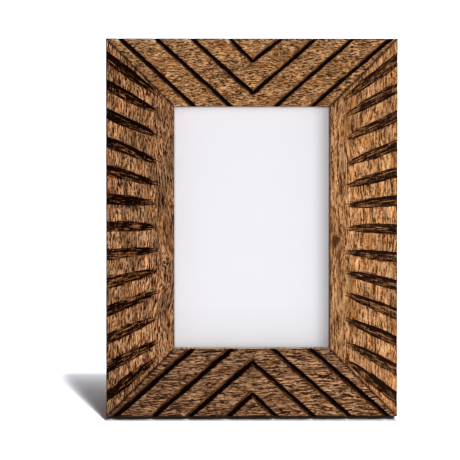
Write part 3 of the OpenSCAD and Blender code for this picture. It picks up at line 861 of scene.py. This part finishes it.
def makeRail(node, origin, alongWay, acrossWay):
    grooved, look = node in grooveHand, railLooks[node]
    length = frameW if grooved else frameH
    origin, alongWay, acrossWay = (np.array(value, float) for value in (origin, alongWay, acrossWay))
    cuts = (chevronCuts if grooved else fluteCuts)(node, (alongWay, acrossWay))
    pilots = []
    screwLevels = () if grooved else ("upper", "lower")
    for level in screwLevels:
        low, high = uprightBox(f"{level}_{node.split('_')[0]}_screw")
        middle = (low + high) / 2 - origin
        pilots.append((middle @ alongWay, middle @ acrossWay))
    name = f"carved_{node}"
    mesh, openEdges = closedMesh(name, boardParts(length, cuts, pilots))
    paintRail(mesh, length, cuts, look)
    a, v, d = meshPoints(mesh).T[:, :, None]
    upright = origin + a * alongWay + v * acrossWay + d * np.array([0, 1, 0])
    mesh.vertices.foreach_set("co", stand(upright).astype(np.float32).ravel())
    if np.dot(np.cross(alongWay, acrossWay), (0, 1, 0)) < 0:
        mesh.flip_normals()
    mesh.shade_smooth()
    mesh.set_sharp_from_angle(angle=math.radians(rail["creaseAngle"]))
    mesh.update()
    mesh.materials.append(mangoWood(f"carvedMangoWood_{node}", look))
    addPiece(name, mesh, node, "frame")
    print(f"{name}: {len(mesh.polygons)} triangles, {len(cuts)} cuts, {openEdges} open edges")


# The looks of the rails. Sizes are in mm, along the grain, across it and through the wood, or for what lies
# in the cuts, along and across the cut.
everyRail = dict(
    # The pale wood is fresh wood on the broken lips, and a painted highlight where it lies on the lit lips
    # and on the bottom rail's lit wall
    paleMarks=(2.5, 0.6, 9), paleWood="#E8CFA2",  # fresh wood on the broken lips
    curls=(3.2, 2.2, 3),  # in the knots
    dashWidth=0.27, dashy=0.9,  # how much of its cell a pore takes up, and how dark it is
    richer=1.25,  # how much richer the best strands are
    knots=(),  # place along and across, size, and how dark
    stains=(),  # place along and across, half sizes, and how dark
)
groovedRail = everyRail | dict(
    streaks=(7, 0.7, 9), streaky=0.5,  # the iron's marks in the cuts, and how strong they are
    ragged=(1.6, 0.5, 9), rags=0.9,  # the rags at the lips, and how strong
    bands=(24, 6, 20),  # of warmer wood
    strands=(11, 3, 20), strandy=0.75,  # strands, and how light the dark ones are
    dashes=(3.4, 0.9, 1),  # cells with one pore each
    inner=0, outer=0,  # how much darker along the opening and along the outer edge
    cloudy=0.17,  # how uneven in shade
    crossing=0.6,  # how strongly the grain shows in the cuts
    leaning=0,  # how far the grain leans aside
)
flutedRail = everyRail | dict(
    streaks=(7, 0.62, 9), streaky=1.8, ragged=(6, 0.5, 9), rags=2.4, bands=(40, 5, 20),
    strands=(16, 2.4, 20), dashes=(5, 1, 1), crossing=0.5, leaning=2.2, slant=0,
)
# strokes, fibres and flecks are the grain's three lengths. edge and sight are how dark the outer and the
# # inner edge are: partly grime, and partly painted shade, heavier on the edges and walls that face away
# from
# # the light. wall is how light the opening's wall is painted, and the key after it how much pale wood is
# # painted on it: on the bottom rail, whose wall faces the light, lighter and pale, a painted light and
# # highlight; on the right rail, whose wall lies in shade, darker, a painted shade. slant is how much
# # lighter the wood is at one end.
railLooks = {
    "bottom_rail": groovedRail | dict(
        pale="#B68D68", light="#966C4B", middle="#6C462B", warm="#704524", dash="#32170A", pore="#150702",
        floor=[(0.35, "#2A150A"), (0.55, "#58331C"), (0.72, "#8C5F3C")], char="#0D0402",
        strokes=(6.4, 0.42, 0.8), fibres=(3.6, 0.38, 0.8), flecks=(1.7, 0.34, 0.8),
        edge=1.0, sight=0.1, wall=1.8, wallHighlight=1, slant=0.19, seed=1),
    "top_rail": groovedRail | dict(
        pale="#CDA275", light="#B38353", middle="#8D5A33", warm="#995E2E", dash="#4E270D", pore="#200A03",
        floor=[(0.35, "#3A2111"), (0.55, "#694529"), (0.72, "#94683F")], char="#150805",
        strokes=(3.6, 0.39, 0.8), fibres=(2.3, 0.37, 0.8), flecks=(1.3, 0.33, 0.8),
        edge=0.42, sight=0.4, wall=1, wallHighlight=0, slant=0.02, seed=2, knots=((14.5, 9, 2.6, 0.8),)),
    "left_rail": flutedRail | dict(
        pale="#C3966C", light="#BC8B5F", middle="#98613B", warm="#965B2E", dash="#472210", pore="#180702",
        floor=[(0.41, "#0E0401"), (0.48, "#2C1308"), (0.55, "#6E3E20"), (0.63, "#A87248")], char="#120401",
        strokes=(6.8, 0.52, 0.8), fibres=(4.0, 0.47, 0.8), flecks=(2.0, 0.42, 0.8),
        inner=0.2, outer=0.15, cloudy=0.36, strandy=0.6,
        edge=1.0, sight=0.4, wall=1, wallHighlight=0, seed=3, knots=((-20, 36.5, 2.6, 0.9),)),
    "right_rail": flutedRail | dict(
        pale="#D3A376", light="#D39D68", middle="#C08450", warm="#B9773D", dash="#8A542C", pore="#46220C",
        floor=[(0.4, "#1F0E07"), (0.48, "#472814"), (0.55, "#7C4E2A"), (0.64, "#AC7A50")], char="#211009",
        strokes=(8, 0.5, 0.8), fibres=(4, 0.45, 0.8), flecks=(1.6, 0.4, 0.8),
        inner=0.25, outer=0, cloudy=0.3, strandy=0.75,
        edge=0.3, sight=0.9, wall=0.45, wallHighlight=0, seed=4, knots=((-8, 36.5, 1.8, 0.5),),
        stains=((-8.2, 37.9, 6, 2.7, 0.95), (-16, 36.6, 5, 1.2, 0.7))),
}
makeRail("bottom_rail", (0, 0, 0), (1, 0, 0), (0, 0, 1))
makeRail("top_rail", (0, 0, frameH), (1, 0, 0), (0, 0, -1))
makeRail("left_rail", (-frameW / 2, 0, frameH / 2), (0, 0, 1), (1, 0, 0))
makeRail("right_rail", (frameW / 2, 0, frameH / 2), (0, 0, 1), (-1, 0, 0))


# The stack behind the rails, and the fittings
def dress(node, material):
    mesh = frame["nodes"][node].data
    mesh.materials.clear()
    mesh.materials.append(material)


# How the edges of the fittings are broken, in degrees: what counts as flat and what as sharp, and over which
# angle an edge is shaded sharp, on metal and on the boards, whose faces have to look flat
easing = dict(flat=1, sharp=35, metalCrease=20, boardCrease=6)


def easedCopy(node, material, ease, body="frame", crease=easing["metalCrease"]):
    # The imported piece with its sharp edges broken
    mesh = frame["nodes"][node].data.copy()
    work = bmesh.new()
    work.from_mesh(mesh)
    bmesh.ops.remove_doubles(work, verts=work.verts, dist=1e-6)
    flat, least = math.radians(easing["flat"]), math.radians(easing["sharp"])
    bmesh.ops.dissolve_limit(work, angle_limit=flat, verts=work.verts, edges=work.edges)
    sharp = [edge for edge in work.edges if edge.is_manifold and edge.calc_face_angle(0) > least]
    bmesh.ops.bevel(work, geom=sharp, offset=ease * mm, segments=2, profile=0.5, affect="EDGES")
    bmesh.ops.triangulate(work, faces=work.faces)
    work.to_mesh(mesh)
    work.free()
    mesh.shade_smooth()
    mesh.set_sharp_from_angle(angle=math.radians(crease))
    mesh.materials.clear()
    mesh.materials.append(material)
    addPiece(f"eased_{node}", mesh, node, body)


board = pressedFibreboard()
brass = stampedMetal("brassPlatedStampedSteel", dict(bright="#C9A560", dull="#96713A", roughness=0.24))
zinc = stampedMetal("zincPlatedStampedSteel", dict(bright="#AEB3B7", dull="#83898D", roughness=0.28))
dress("glass_pane", floatGlass())
dress("insert_card", whiteCard())
easedCopy("backing_board", board, 0.2, crease=easing["boardCrease"])
easedCopy("easel_strut", board, 0.3, "strut", crease=easing["boardCrease"])
easedCopy("hinge_fixed_leaf", brass, 0.12)
easedCopy("hinge_moving_leaf", brass, 0.12, "strut")
easedCopy("hinge_pin", brass, 0.12)
easedCopy("hinge_board_rivets", brass, 0.15)
easedCopy("hinge_strut_rivets", brass, 0.15, "strut")
for corner in ("upper_left", "upper_right", "lower_left", "lower_right"):
    easedCopy(f"{corner}_turn_button", zinc, 0.15, f"{corner}_button")
    easedCopy(f"{corner}_screw", zinc, 0.1)
for corner in ("top_left", "top_right", "bottom_left", "bottom_right"):
    easedCopy(f"{corner}_v_nails", zinc, 0.05)
print("fittings done")


# Floor, camera and lamps

def shownAndGiven(tree, shown, given):
    # One colour for what is seen, also in glass and metal, and another for the light on other things
    ray, seen = addNode(tree, "LightPath", {}), 0.0
    for kind in ("Camera", "Glossy", "Transmission"):
        seen = addNode(tree, "Math", {0: seen, 1: ray.outputs[f"Is {kind} Ray"]}, operation="MAXIMUM")
    return addNode(tree, "Mix", {0: seen, 6: given, 7: shown}, data_type="RGBA")


# White paper, uncoated and matt: an even white without sheen. size is in metres.
paperLook = dict(size=6.0, shown="#F5F8FF", given="#B4B4B4")


def makeFloor():
    material, tree = newMaterial("seamlessPaper")
    colour = shownAndGiven(tree, paperLook["shown"], paperLook["given"])
    shader = addNode(tree, "BsdfDiffuse", {"Color": colour})
    addNode(tree, "OutputMaterial", {"Surface": shader})
    half = paperLook["size"] / 2
    mesh = bpy.data.meshes.new("paper_floor")
    corners = [(-half, -half, 0), (half, -half, 0), (half, half, 0), (-half, half, 0)]
    mesh.from_pydata(corners, [], [(0, 1, 2, 3)])
    mesh.materials.append(material)
    made = bpy.data.objects.new("paper_floor", mesh)
    bpy.context.scene.collection.objects.link(made)
    return made


paper = makeFloor()

skyLook = dict(shown=1, given=0.08)  # white behind everything, and a faint even light
world = bpy.data.worlds.new("softStudio")
bpy.context.scene.world = world
world.use_nodes = True
sky = world.node_tree
sky.nodes.clear()
skyColour = shownAndGiven(sky, tone(skyLook["shown"]), tone(skyLook["given"]))
addNode(sky, "OutputWorld", {"Surface": addNode(sky, "Background", {"Color": skyColour, "Strength": 1.0})})

faceMiddle = Vector(stand([[0, 0, frameH / 2]])[0])
faceOut = Vector((0, -math.cos(lean), math.sin(lean)))  # out of the front face, towards the camera
faceUp = Vector((0, math.sin(lean), math.cos(lean)))
faceRight = Vector((1, 0, 0))

# The lens stands a little above and to the left of the frame's middle, so that only the right and bottom
# walls of the opening show. Distances are in metres, lens and sensor in millimetres.
camera = dict(distance=1.4, left=0.041, up=0.051, aimLeft=0.017, aimUp=0.014, lens=179.65, sensor=36,
              shiftX=0.0128, shiftY=-0.0544)
cameraData = bpy.data.cameras.new("camera")
cameraData.lens = camera["lens"]
cameraData.sensor_width = camera["sensor"]
cameraData.shift_x = camera["shiftX"]
cameraData.shift_y = camera["shiftY"]
cameraObject = bpy.data.objects.new("camera", cameraData)
eye = faceMiddle + camera["distance"] * faceOut - camera["left"] * faceRight + camera["up"] * faceUp
aim = faceMiddle - camera["aimLeft"] * faceRight + camera["aimUp"] * faceUp
backward = (eye - aim).normalized()
sideways = faceUp.cross(backward).normalized()
cameraObject.location = eye
cameraObject.rotation_euler = Matrix((sideways, backward.cross(sideways), backward)).transposed().to_euler()
bpy.context.scene.collection.objects.link(cameraObject)
bpy.context.scene.camera = cameraObject


def makeLamp(name, toLamp, strength, angle, only=None, spare=None):
    # A sun that lights one thing only, or that spares one
    data = bpy.data.lights.new(name, "SUN")
    data.energy = strength
    data.angle = math.radians(angle)
    made = bpy.data.objects.new(name, data)
    made.location = faceMiddle + toLamp
    made.rotation_euler = (-toLamp).to_track_quat("-Z", "Y").to_euler()
    bpy.context.scene.collection.objects.link(made)
    linked = bpy.data.collections.new(f"{name}_receivers")
    linked.objects.link(only or spare)
    if spare:
        linked.collection_objects[0].light_linking.link_state = "EXCLUDE"
        made.light_linking.blocker_collection = linked
    made.light_linking.receiver_collection = linked


# Three lamps light the frame and spare the paper. The seven others light only the paper, from one plane with
# the frame's left edge, so that their shadows share that edge. The steeper a lamp stands, the shorter is its
# shadow, so that together they fade towards the tip. The low one reaches under the lifted front edge.
lamps = dict(
    side=dict(out=0.75, right=0.33, up=0.03, level=0.42, angle=38),
    front=dict(out=1.0, right=-0.05, up=0.052, level=0.3, angle=4),
    back=dict(out=-0.8, right=-0.5, up=0.5, level=0.6, angle=40),
)
paperLamps = dict(
    long=dict(slope=1, level=0.53, angle=2.5),
    second=dict(slope=1.17, level=0.2, angle=3),
    third=dict(slope=1.36, level=0.1, angle=4),
    fourth=dict(slope=1.65, level=0.09, angle=5),
    fifth=dict(slope=2.2, level=0.06, angle=7),
    steep=dict(slope=4, level=0.09, angle=9),
    low=dict(slope=0.28, level=0.62, angle=13),
)
shadowTip = dict(x=-32.2, y=81.5)  # mm from the foot of the frame's left edge to the tip of the shadow
for name, lamp in lamps.items():
    toLamp = (lamp["out"] * faceOut + lamp["right"] * faceRight + lamp["up"] * faceUp).normalized()
    strength = lamp["level"] * math.pi / abs(toLamp.dot(faceOut))
    makeLamp(f"{name}Lamp", toLamp, strength, lamp["angle"], spare=paper)
foot, top = (Vector(stand([[-frameW / 2, 0, z]])[0]) for z in (0, frameH))
tip = Vector((shadowTip["x"], shadowTip["y"], 0)) * mm
for name, lamp in paperLamps.items():
    toLamp = ((top - foot) * lamp["slope"] - tip).normalized()
    makeLamp(f"{name}Lamp", toLamp, lamp["level"] * math.pi / toLamp.z, lamp["angle"], only=paper)

bpy.context.scene.view_settings.view_transform = "Standard"
print("stage, camera and lamps done")
